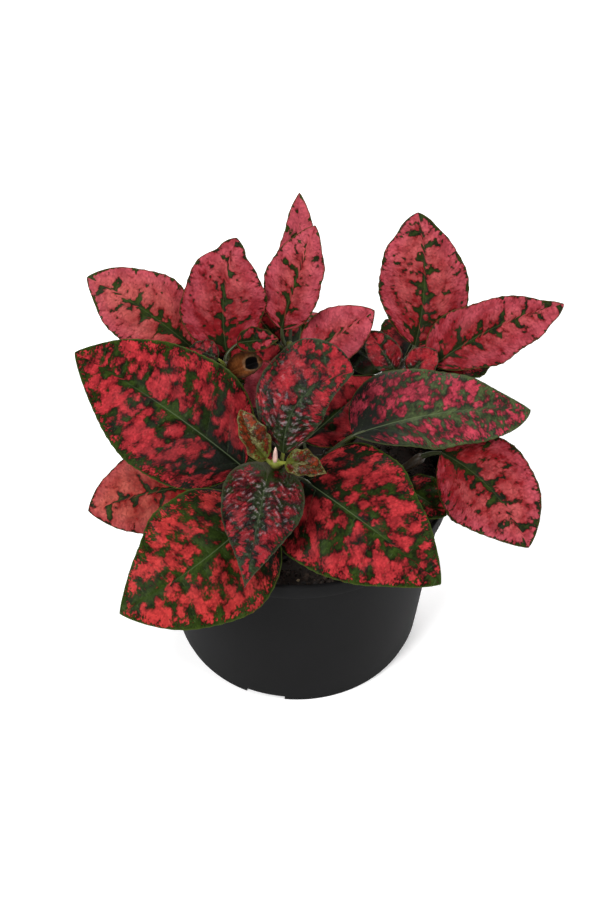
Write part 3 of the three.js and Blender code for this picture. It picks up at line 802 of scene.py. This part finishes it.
def damp_peat(name):
    """Damp peat: near-black fibres and dust that swallow light."""
    skin, add, surface = new_skin(name)
    place = add("TexCoord", out="Object")
    dust = add("TexNoise", {"Vector": place, "Scale": 1 / (DUST_SIZE * MM), "Detail": 4.0}, out="Fac")
    toned = add("Mix", {"Factor": dust, 6: tint("#0E0A08"), 7: tint("#2A1E15")}, **COLOURS)
    bumps = add("Bump", {"Strength": 0.8, "Distance": 0.6 * MM, "Height": dust})
    plug(surface, {"Base Color": toned, "Normal": bumps, "Roughness": 0.95})
    return skin


def peat_crumb(name):
    """Loose crumbs of peat, brown to black, with a few pale ones of bark and perlite."""
    skin, add, surface = new_skin(name)
    tone = add("Attribute", out="Fac", attribute_name="tone")
    dark = add("Mix", {"Factor": tone, 6: tint("#0C0908"), 7: tint("#35261A")}, **COLOURS)
    is_pale = add("MapRange", (tone, 1 - PALE_CRUMBS, 1.0, 0.0, 1.0))
    toned = add("Mix", {"Factor": is_pale, 6: dark, 7: tint("#C9B58E")}, **COLOURS)
    plug(surface, {"Base Color": toned, "Roughness": 0.9})
    return skin


def opal_acrylic(name):
    """The top of a shooting table: white opal acrylic, plain and matt, and faintly lit from below."""
    skin, _, surface = new_skin(name)
    plug(surface, {
        "Base Color": tint("#FAFAFA"), "Roughness": 0.9, "Specular IOR Level": 0.1,
        "Emission Color": tint("#FFFFFF"), "Emission Strength": 0.3,
    })
    return skin


# The foot colour is what a blade's green turns to near its foot: near black on the red and dull leaves, which
# is painted shade, and a darker or paler green of their own on the others.
UPPER = {
    "leaf_red": leaf_upper(
        "mature leaf, red", ("#581014", "#B03036"), ("#0A0E07", "#2B3B12"), foot="#070A05", edge="#3E4A1C",
        hairline="#6C7C58", specular=0.04,
    ),
    # Painted sheen: the dull look's greyer, paler greens and reds stand for light reflected off a blade that
    # lies flat.
    "dull": leaf_upper(
        "mature leaf, red with a dull bloom", ("#5C101C", "#B83A4C"), ("#1A2214", "#46522E"), foot="#050805",
        edge="#3A4020", hairline="#6C7C58", roughness=0.5, specular=0.14, dot=2.7,
    ),
    "leaf_pink": leaf_upper(
        "rear leaf, pink", ("#76141C", "#AE4853"), ("#12170A", "#2C3A10"), foot="#1A220C", edge="#443818",
        hairline="#4E5634", roughness=0.48, softness=0.07, rim=0.1, dot=2.3, veined=2.0,
    ),
    "leaf_maroon": leaf_upper(
        "young leaf, maroon", ("#38080C", "#A0262E"), ("#080C06", "#2E3A20"), foot="#222C0E", edge="#3E3C2C",
        hairline="#4E5C40", roughness=0.36, specular=0.08, coat=0.06, crinkle=1.1, painted_sheen=0.8, cell=0.7,
        dot=2.4, stretch=0.75,
    ),
    "leaf_bronze": leaf_upper(
        "youngest leaf, bronze", ("#441008", "#8C3A18"), ("#282408", "#8A8258"), foot="#4E5618",
        edge="#545026", hairline="#5C5C2A", roughness=0.34, specular=0.1, coat=0.1, crinkle=0.8,
        softness=0.06, painted_sheen=0.35, cell=0.3, dot=0.8,
    ),
    "rolled": rolled_leaf("rolled leaf", "#74421F", "#7E5C40", "#060404"),
}
UNDER = {
    "leaf_red": leaf_underside("mature leaf, underside", "#7A343C", "#39442A"),
    "leaf_pink": leaf_underside("rear leaf, underside", "#96505A", "#4A5634"),
    "leaf_maroon": leaf_underside("young leaf, underside", "#703840", "#464E34"),
    "leaf_bronze": leaf_underside("youngest leaf, underside", "#74502C", "#565A28"),
    "rolled": rolled_leaf("rolled leaf, outside", "#74421F", "#54382C", "#4A2C24"),
}
PETIOLE = fresh_stem("petiole", "#1C200E", "#343C18", 80, 130)
YOUNG_PETIOLE = fresh_stem("young petiole", "#3A3A18", "#767E2A", 116, 130)
STEM = fresh_stem("stem", "#2C2214", "#767E2A", 124, 128)
BUD = fresh_stem("flower bud", "#C89A90", "#DDBBAE", 126, 136)
STALKS = {"leaf_maroon": YOUNG_PETIOLE, "leaf_bronze": YOUNG_PETIOLE}


# The leaves

def outline(u, belly, full):
    """A blade's half width, as a share of its largest, from its foot to its tip."""
    near_foot, near_tip = belly * full, (1 - belly) * full
    return (u**near_foot * (1 - u) ** near_tip) / (belly**near_foot * (1 - belly) ** near_tip)


def midrib_at(leaf, u):
    """The midrib's points at u, and the directions along it, up from the blade and to its right."""
    u = np.asarray(u, float)[..., None]
    foot, face = np.array(leaf["foot"], float), np.array(leaf["face"], float)
    chord = np.array(leaf["tip"], float) - foot
    up = unit(face - chord * np.dot(face, chord) / np.dot(chord, chord))
    right = unit(np.cross(chord, up))
    bow = up * leaf["arch"] + right * leaf["sway"]
    point = foot + chord * u + bow * 4 * u * (1 - u)
    along = unit(chord + bow * 4 * (1 - 2 * u))
    normal = unit(face - along * (along @ face)[..., None])
    return point, along, normal, np.cross(along, normal)


def half_width(leaf, u, hand, draw):
    """A blade's half width at u, on its left where hand is -1 and on its right where it is 1."""
    half = leaf["width"] / 2 * (1 + leaf["lean"] * hand)
    half = half * outline(u, leaf["belly"] + leaf["skew"] * hand, leaf["full"])
    wave = np.sin(RAGGED_TURNS[0] * u + RAGGED_TURNS[1] * hand + draw)
    half = half * (1 + leaf["ragged"] * np.sin(np.pi * u) * wave)
    return half * (1 - leaf["neck"] * np.exp(-(((u - NECK_AT) / NECK_LENGTH) ** 2)))


def uneven(turns, across, along, draw):
    """From -1 to 1, winding at the given turns along and across the blade."""
    return np.sin(turns[0] * along + draw) * np.sin(turns[1] * across + 2 * draw)


def blistered(leaf, u, v, across, along, draw):
    """How far the blisters raise a blade, and how far above or below their middle its points are."""
    # The blisters lie in crooked rows.
    crooked_across = across + WARP * np.sin(WARP_TURNS[0] * along + draw)
    crooked_along = along + WARP * np.sin(WARP_TURNS[1] * across + 2 * draw)
    large = blisters(BLISTER_STRETCH * crooked_across, crooked_along, leaf["blister"], draw)
    small = blisters(crooked_across, crooked_along, CRINKLE * leaf["blister"], draw)
    raised = mix(large, small, CRINKLE_SHARE)
    patchy = 1 - PATCHY + PATCHY * uneven(PATCHY_TURNS, across, along, draw)
    fades = np.minimum(1, 3 * np.sin(np.pi * u)) * (1 - np.abs(v) ** 6)
    quilting = leaf["quilt"] * BLISTER_FOOT * (1 - u) ** BLISTER_FADE * fades * patchy
    return quilting * raised, np.minimum(1, RELIEF * quilting) * (2 * raised - 1)


def closed_sheet(upper, under):
    """The points and faces of a shell round two sheets of points that meet at both ends.

    It also gives 1 for each face of the lower sheet and 0 for each other.
    """
    ring = np.concatenate([upper, under[:, ::-1]], axis=1)
    rows, count = ring.shape[0] - 1, ring.shape[1]
    start = np.arange(rows)[:, None] * count
    near, far = np.arange(count), np.roll(np.arange(count), -1)
    faces = np.stack([start + near, start + far, start + count + far, start + count + near], axis=-1)
    below = np.where((near >= count // 2) & (near < count - 1), 1, 0)
    return ring.reshape(-1, 3), faces.reshape(-1, 4).tolist(), np.tile(below, rows).tolist()


def blade(leaf, draw):
    """A closed blade with its veins, blisters and scalloped edge, and what its points know."""
    length = float(np.linalg.norm(np.subtract(leaf["tip"], leaf["foot"])))
    step = YOUNG_BLADE_STEP if leaf["quilt"] > PLAIN_LEAF["quilt"] else BLADE_STEP
    rows = max(20, round(ROW_CLOSENESS * length / step))
    columns = 2 * max(8, round(leaf["width"] / 2 / step))
    down = (1 - np.cos(np.pi * np.arange(rows + 1) / rows)) / 2
    u, v = np.meshgrid(down, np.linspace(-1, 1, columns + 1), indexing="ij")
    point, along, normal, right = midrib_at(leaf, u)
    hand, rise = np.sign(v), np.sin(np.pi * u)
    half = half_width(leaf, u, hand, draw)
    scallops = SCALLOP_DEPTH * np.abs(np.sin(np.pi * u * length / SCALLOP_LENGTH + draw)) * rise
    across = v * (half - scallops * np.abs(v) ** 3)
    from_midrib = np.abs(across)
    # Side veins leave the midrib at even spaces and sweep forward, a little out of step left and right.
    veins = max(3, round(length / VEIN_SPACING))
    sweep = VEIN_SWEEP * np.abs(v) ** VEIN_BEND
    vein = veins * (u - sweep) / (1 - sweep) + VEIN_STAGGER * hand
    from_vein = np.abs(vein - np.round(vein)) * length / veins * SLANT
    vein_along = vein * length / veins
    place_along = mix(vein_along, u * length, MOTTLING_STRAIGHT)
    wave = v * v * rise * np.sin(2 * np.pi * EDGE_WAVES * u + 2 * v)
    grooves = MIDRIB_DEPTH * np.exp(-((across / MIDRIB_WIDTH) ** 2)) * (1 - MIDRIB_FADE * u)
    grooves = grooves + VEIN_DEPTH * np.exp(-((from_vein / VEIN_WIDTH) ** 2)) * (1 - np.abs(v) ** 4) * rise
    blistering, relief = blistered(leaf, u, v, across, vein_along, draw)
    swell = SWELL * np.minimum(1, from_vein / SWELL_START) * np.minimum(1, from_midrib / SWELL_START)
    swell = blistering + swell * (1 - v * v) * rise
    bend = leaf["fold"] * from_midrib - leaf["dome"] * from_midrib * np.abs(v)
    undulation = UNDULATION * rise * np.minimum(1, from_midrib / UNDULATION_START)
    undulation = undulation * uneven(UNDULATION_TURNS, across, vein_along, draw)
    height = wave - grooves + swell + bend + undulation
    middle = point + right * across[..., None] + normal * height[..., None]
    lobes = (leaf["lobe"] * np.abs(v) ** LOBE_BEND * (1 - u) ** LOBE_FADE)[..., None]
    middle = middle - lobes * (along + LOBE_DROOP * normal)
    thickness = mix(BLADE_THICKNESS, EDGE_THICKNESS, v**4)[..., None]
    points, faces, skins = closed_sheet(middle + normal * thickness / 2, middle - normal * thickness / 2)
    from_edge = np.maximum(0, half - from_midrib) * SLANT
    marks = {
        "place": (across, place_along, 0),
        "near": (from_midrib, from_vein, from_edge),
        "tone": (leaf["pale"], leaf["warm"], relief),
        "growth": (leaf["green"], u, draw),
    }
    for mark, parts in marks.items():
        known = np.stack(np.broadcast_arrays(u, *parts)[1:], axis=-1)
        marks[mark] = np.concatenate([known, known[:, ::-1]], axis=1).reshape(-1, 3)
    return points, faces, skins, marks


def petiole(leaf, shoot):
    """The petiole leaves its joint, bends, and runs on under the blade as its midrib, ever thinner."""
    stem = stem_path(shoot, 0.5)
    start = stem[np.argmin(np.abs(stem[:, 2] - leaf["joint"]))]
    foot, along, normal, _ = midrib_at(leaf, 0)
    reach = np.linalg.norm(start - foot)
    bend = mix(foot - along * PETIOLE_BEND * reach, start, PETIOLE_BEND)
    bend[2] = mix(start[2], foot[2], PETIOLE_RISE)
    thick = PETIOLE_RADIUS[0] + PETIOLE_RADIUS[1] * leaf["width"]
    shares = np.array(PETIOLE_POINTS)
    under, _, normals, _ = midrib_at(leaf, shares)
    drop = MIDRIB_DEPTH * (1 - MIDRIB_FADE * shares) + BLADE_THICKNESS / 2
    drop = drop + PETIOLE_SUNK * thick * mix(0.5, 0.2, shares)
    under = under - normals * drop[:, None]
    path = smooth_path([start, bend, foot - normal * PETIOLE_DROP, *under], PETIOLE_STEP)
    run = np.linspace(0, 1, len(path))
    joined = reach / (reach + np.linalg.norm(np.subtract(leaf["tip"], leaf["foot"])))
    radii = thick * np.interp(run, [0, joined, joined + PETIOLE_RUN, 1], [leaf["stalk"], *PETIOLE_TAPER])
    return rod(path, radii, PETIOLE_SIDES)


def make_leaf(name, given, shoot, draw):
    leaf = {**PLAIN_LEAF, **given}
    node = f"leaf_{name}"
    points, faces, face_skins, marks = blade(leaf, draw)
    stalk_points, stalk_faces = petiole(leaf, shoot)
    offset = len(points)
    faces = faces + [[corner + offset for corner in face] for face in stalk_faces]
    face_skins = face_skins + [2] * len(stalk_faces)
    marks = {
        mark: np.concatenate([values, np.zeros((len(stalk_points), *values.shape[1:]))])
        for mark, values in marks.items()
    }
    kind = leaf.get("skin", slots[node])
    skins = [UPPER[kind], UNDER.get(kind, UNDER["leaf_red"]), STALKS.get(kind, PETIOLE)]
    points = np.vstack([points, stalk_points])
    stand_for(make_mesh(f"grown_{node}", points, faces, skins, face_skins, marks), node)


# The stems

def stem_path(shoot, step):
    """A stem rises straight out of the soil, then leans over towards its tip."""
    (x, y), (end_x, end_y, end_z) = shoot["root"], shoot["tip"]
    return smooth_path(
        [
            (x, y, SOIL_TOP - STEM_DEPTH),
            (x, y, SOIL_TOP - STEM_DEPTH / 2),
            (x, y, SOIL_TOP + STEM_UPRIGHT),
            (mix(x, end_x, STEM_BEND), mix(y, end_y, STEM_BEND), mix(SOIL_TOP, end_z, STEM_BEND_RISE)),
            (end_x, end_y, end_z),
        ],
        step,
    )


def make_stem(name, shoot):
    path = stem_path(shoot, STEM_STEP)
    joints = [leaf["joint"] for leaf in LEAVES[name].values()]
    swells = [np.clip(1 - np.abs(path[:, 2] - joint) / JOINT_LENGTH, 0, 1) for joint in joints]
    radii = mix(*shoot["radius"], np.linspace(0, 1, len(path))) + JOINT_SWELL * np.max(swells, axis=0)
    radii[-1] *= STEM_END
    points, faces = rod(path, radii, STEM_SIDES)
    face_skins = [0] * len(faces)
    if "bud" in shoot:
        rise = shoot["bud"]["length"] * np.linspace(0, 1, len(BUD_SHAPE))
        bud_radii = shoot["bud"]["radius"] * BUD_FULLNESS * np.array(BUD_SHAPE)
        bud_points, bud_faces = rod(path[-1] + np.outer(rise, BUD_LEAN), bud_radii, STEM_SIDES)
        faces = faces + [[corner + len(points) for corner in face] for face in bud_faces]
        face_skins = face_skins + [1] * len(bud_faces)
        points = np.vstack([points, bud_points])
    stand_for(make_mesh(f"grown_stem_{name}", points, faces, [STEM, BUD], face_skins), f"stem_{name}")


# The pot

def body_radius_at(z):
    return mix(BASE_RADIUS, RIM_RADIUS - COLLAR_STEP, z / SHOULDER)


def inner_radius_at(z):
    return body_radius_at(z) - POT_WALL


def turned(name, profile):
    """A solid of revolution about Z from pairs of radius and height that start and end on the axis."""
    turn = np.linspace(0, 2 * math.pi, POT_SIDES, endpoint=False)
    points = [(0, 0, profile[0][1])]
    points += [(r * math.cos(a), r * math.sin(a), z) for r, z in profile[1:-1] for a in turn]
    points += [(0, 0, profile[-1][1])]
    rings = len(profile) - 2
    last = len(points) - 1
    faces = []
    for side in range(POT_SIDES):
        beside = (side + 1) % POT_SIDES
        faces.append([0, 1 + beside, 1 + side])
        for ring in range(rings - 1):
            low, high = 1 + ring * POT_SIDES, 1 + (ring + 1) * POT_SIDES
            faces.append([low + side, low + beside, high + beside, high + side])
        top = 1 + (rings - 1) * POT_SIDES
        faces.append([top + side, top + beside, last])
    return make_mesh(name, points, faces, [])


def channel(turn, allowance):
    """The points and faces of one drainage channel, made larger all round by an allowance."""
    near, far = CHANNEL_START - allowance, BASE_RADIUS + CHANNEL_BEYOND
    half, top = CHANNEL_WIDTH / 2 + allowance, CHANNEL_HEIGHT + allowance
    corners = ((near, -half), (far, -half), (far, half), (near, half))
    cos, sin = math.cos(math.radians(turn)), math.sin(math.radians(turn))
    points = [(x * cos - y * sin, x * sin + y * cos, z) for z in (-top, top) for x, y in corners]
    faces = [[3, 2, 1, 0], [4, 5, 6, 7], [0, 1, 5, 4], [1, 2, 6, 5], [2, 3, 7, 6], [3, 0, 4, 7]]
    return points, faces


def cut(whole, tool):
    """Takes tool's shape out of whole, and removes tool."""
    bite = whole.modifiers.new("cut", "BOOLEAN")
    bite.operation = "DIFFERENCE"
    bite.solver = "EXACT"
    bite.object = tool
    shown = whole.evaluated_get(bpy.context.evaluated_depsgraph_get())
    result = bpy.data.meshes.new_from_object(shown)
    whole.modifiers.clear()
    whole.data = result
    bpy.data.objects.remove(tool)


def outer_profile():
    """The pot's outside from the middle of its underside to the middle of its mouth."""
    foot = BASE_RADIUS - FOOT_INSET
    rim, rim_height = RIM_RADIUS - EDGE_ROUND, POT_HEIGHT - EDGE_ROUND
    rounding = [math.radians(a) for a in range(0, 91, 15)]
    return [
        (0, 0), (foot - EDGE_ROUND, 0), (foot - 0.3, 0.2), (foot, EDGE_ROUND), (foot, FOOT_HEIGHT),
        (body_radius_at(FOOT_HEIGHT), FOOT_HEIGHT + FOOT_INSET), (body_radius_at(LOW_RING), LOW_RING),
        (body_radius_at(SHOULDER - 1), SHOULDER - 1), (RIM_RADIUS - EDGE_ROUND, SHOULDER),
        (RIM_RADIUS - 0.2, SHOULDER + 0.3), (RIM_RADIUS, SHOULDER + EDGE_ROUND),
        *[(rim + EDGE_ROUND * math.cos(a), rim_height + EDGE_ROUND * math.sin(a)) for a in rounding],
        (0, POT_HEIGHT),
    ]


def inner_profile():
    """The pot's inside from its floor to a little above its mouth."""
    rim = RIM_RADIUS - POT_WALL
    return [
        (0, POT_WALL), (inner_radius_at(POT_WALL) - 2, POT_WALL),
        (inner_radius_at(FOOT_HEIGHT), FOOT_HEIGHT + 1), (inner_radius_at(SHOULDER), SHOULDER),
        (rim, SHOULDER + COLLAR_STEP), (rim, POT_HEIGHT + 1), (0, POT_HEIGHT + 1),
    ]


def make_pot():
    outside = turned("pot", outer_profile())
    inside = turned("inside", inner_profile())
    turns = [CHANNEL_TURN + 360 * i / CHANNELS for i in range(CHANNELS)]
    for turn in turns:
        cut(inside, make_mesh("channel", *channel(turn, POT_WALL), []))
    cut(outside, inside)
    for turn in turns:
        cut(outside, make_mesh("channel", *channel(turn, 0), []))
        spin = math.radians(turn)
        x, y = DRAIN_AT * math.cos(spin), DRAIN_AT * math.sin(spin)
        path = np.array([(x, y, z) for z in DRAIN_HEIGHTS], float)
        cut(outside, make_mesh("drain", *rod(path, [DRAIN_RADIUS] * 3, DRAIN_SIDES), []))
    outside.data.materials.clear()
    outside.data.materials.append(moulded_polypropylene("moulded polypropylene"))
    outside.data.shade_smooth()
    outside.data.set_sharp_from_angle(angle=math.radians(35))
    outside.name = "moulded_pot"
    stand_for(outside, "pot")


# The growing medium

def soil_height_at(x, y):
    height = SOIL_TOP
    for lump, (along_x, along_y), start in SOIL_LUMPS:
        height = height + lump * np.sin(along_x * x + along_y * y + start)
    return height


def scatter_crumbs():
    """Loose crumbs on top of the growing medium, all in one piece."""
    ball = bmesh.new()
    bmesh.ops.create_icosphere(ball, subdivisions=1, radius=1)
    corners = np.array([corner.co for corner in ball.verts])
    sides = np.array([[corner.index for corner in face.verts] for face in ball.faces])
    ball.free()
    points, faces, tones = [], [], []
    for crumb in range(CRUMBS):
        reach = SOIL_EDGE * math.sqrt(rng.random())
        turn = 2 * math.pi * rng.random()
        x, y = reach * math.cos(turn), reach * math.sin(turn)
        size = mix(*CRUMB_SIZES, rng.random() ** 3) / 2
        stretch = size * np.array([rng.uniform(*most) for most in CRUMB_STRETCH])
        rough = corners * rng.uniform(*CRUMB_ROUGHNESS, (len(corners), 1)) * stretch
        spin = 2 * math.pi * rng.random()
        turned_x = rough[:, 0] * math.cos(spin) - rough[:, 1] * math.sin(spin)
        turned_y = rough[:, 0] * math.sin(spin) + rough[:, 1] * math.cos(spin)
        z = soil_height_at(x, y) + size * CRUMB_RISE
        points.append(np.column_stack([x + turned_x, y + turned_y, z + rough[:, 2]]))
        faces.append(sides + crumb * len(corners))
        tones.append(np.full(len(corners), rng.random()))
    crumbs = make_mesh(
        "peat_crumbs", np.vstack(points), np.vstack(faces).tolist(), [peat_crumb("peat crumbs")],
        marks={"tone": np.concatenate(tones)},
    )
    crumbs.data.shade_flat()
    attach(crumbs, "root")


# The scene

def aim(thing, at):
    """Points a camera or lamp at a place in millimetres."""
    toward = np.array(at) * MM - np.array(thing.location)
    away = -unit(toward)
    level = unit(np.cross((0, 0, 1), away))
    upward = np.cross(away, level)
    turn = np.column_stack([level, upward, away])
    thing.rotation_euler = Matrix(turn.tolist()).to_euler()


def add_softbox(name, place, power):
    lamp = bpy.data.lights.new(name, "AREA")
    lamp.shape = "DISK"
    lamp.size = SOFTBOX_WIDTH * MM
    lamp.energy = power
    held = bpy.data.objects.new(name, lamp)
    held.location = [p * MM for p in place]
    bpy.context.scene.collection.objects.link(held)
    aim(held, CAMERA_AIM)


def add_floor():
    corners = [(x * FLOOR_REACH, y * FLOOR_REACH, 0) for x, y in ((-1, -1), (1, -1), (1, 1), (-1, 1))]
    floor = make_mesh("floor", corners, [[0, 1, 2, 3]], [opal_acrylic("white opal acrylic")])


def add_camera():
    camera = bpy.data.objects.new("camera", bpy.data.cameras.new("camera"))
    camera.data.lens = CAMERA_LENS
    camera.data.clip_end = CAMERA_SIGHT * MM
    tilt = math.radians(CAMERA_ELEVATION)
    back, rise = CAMERA_DISTANCE * math.cos(tilt), CAMERA_DISTANCE * math.sin(tilt)
    x, y, z = CAMERA_AIM
    camera.location = (x * MM, (y - back) * MM, (z + rise) * MM)
    bpy.context.scene.collection.objects.link(camera)
    aim(camera, CAMERA_AIM)
    bpy.context.scene.camera = camera


def light_scene():
    world = bpy.data.worlds.new("studio")
    world.use_nodes = True
    plug(world.node_tree.nodes["Background"], {"Color": tint("#FFFFFF"), "Strength": ROOM_LIGHT})
    bpy.context.scene.world = world
    bpy.context.scene.view_settings.view_transform = "Standard"
    for name, (place, power) in SOFTBOXES.items():
        add_softbox(name, place, power)


make_pot()
frame["nodes"]["growing_medium"].data.materials.clear()
frame["nodes"]["growing_medium"].data.materials.append(damp_peat("damp peat"))
scatter_crumbs()
for stem_name, shoot in SHOOTS.items():
    make_stem(stem_name, shoot)
    for leaf_name, leaf in LEAVES[stem_name].items():
        make_leaf(leaf_name, leaf, shoot, DRAW_SPREAD * rng.random())
add_floor()
light_scene()
add_camera()
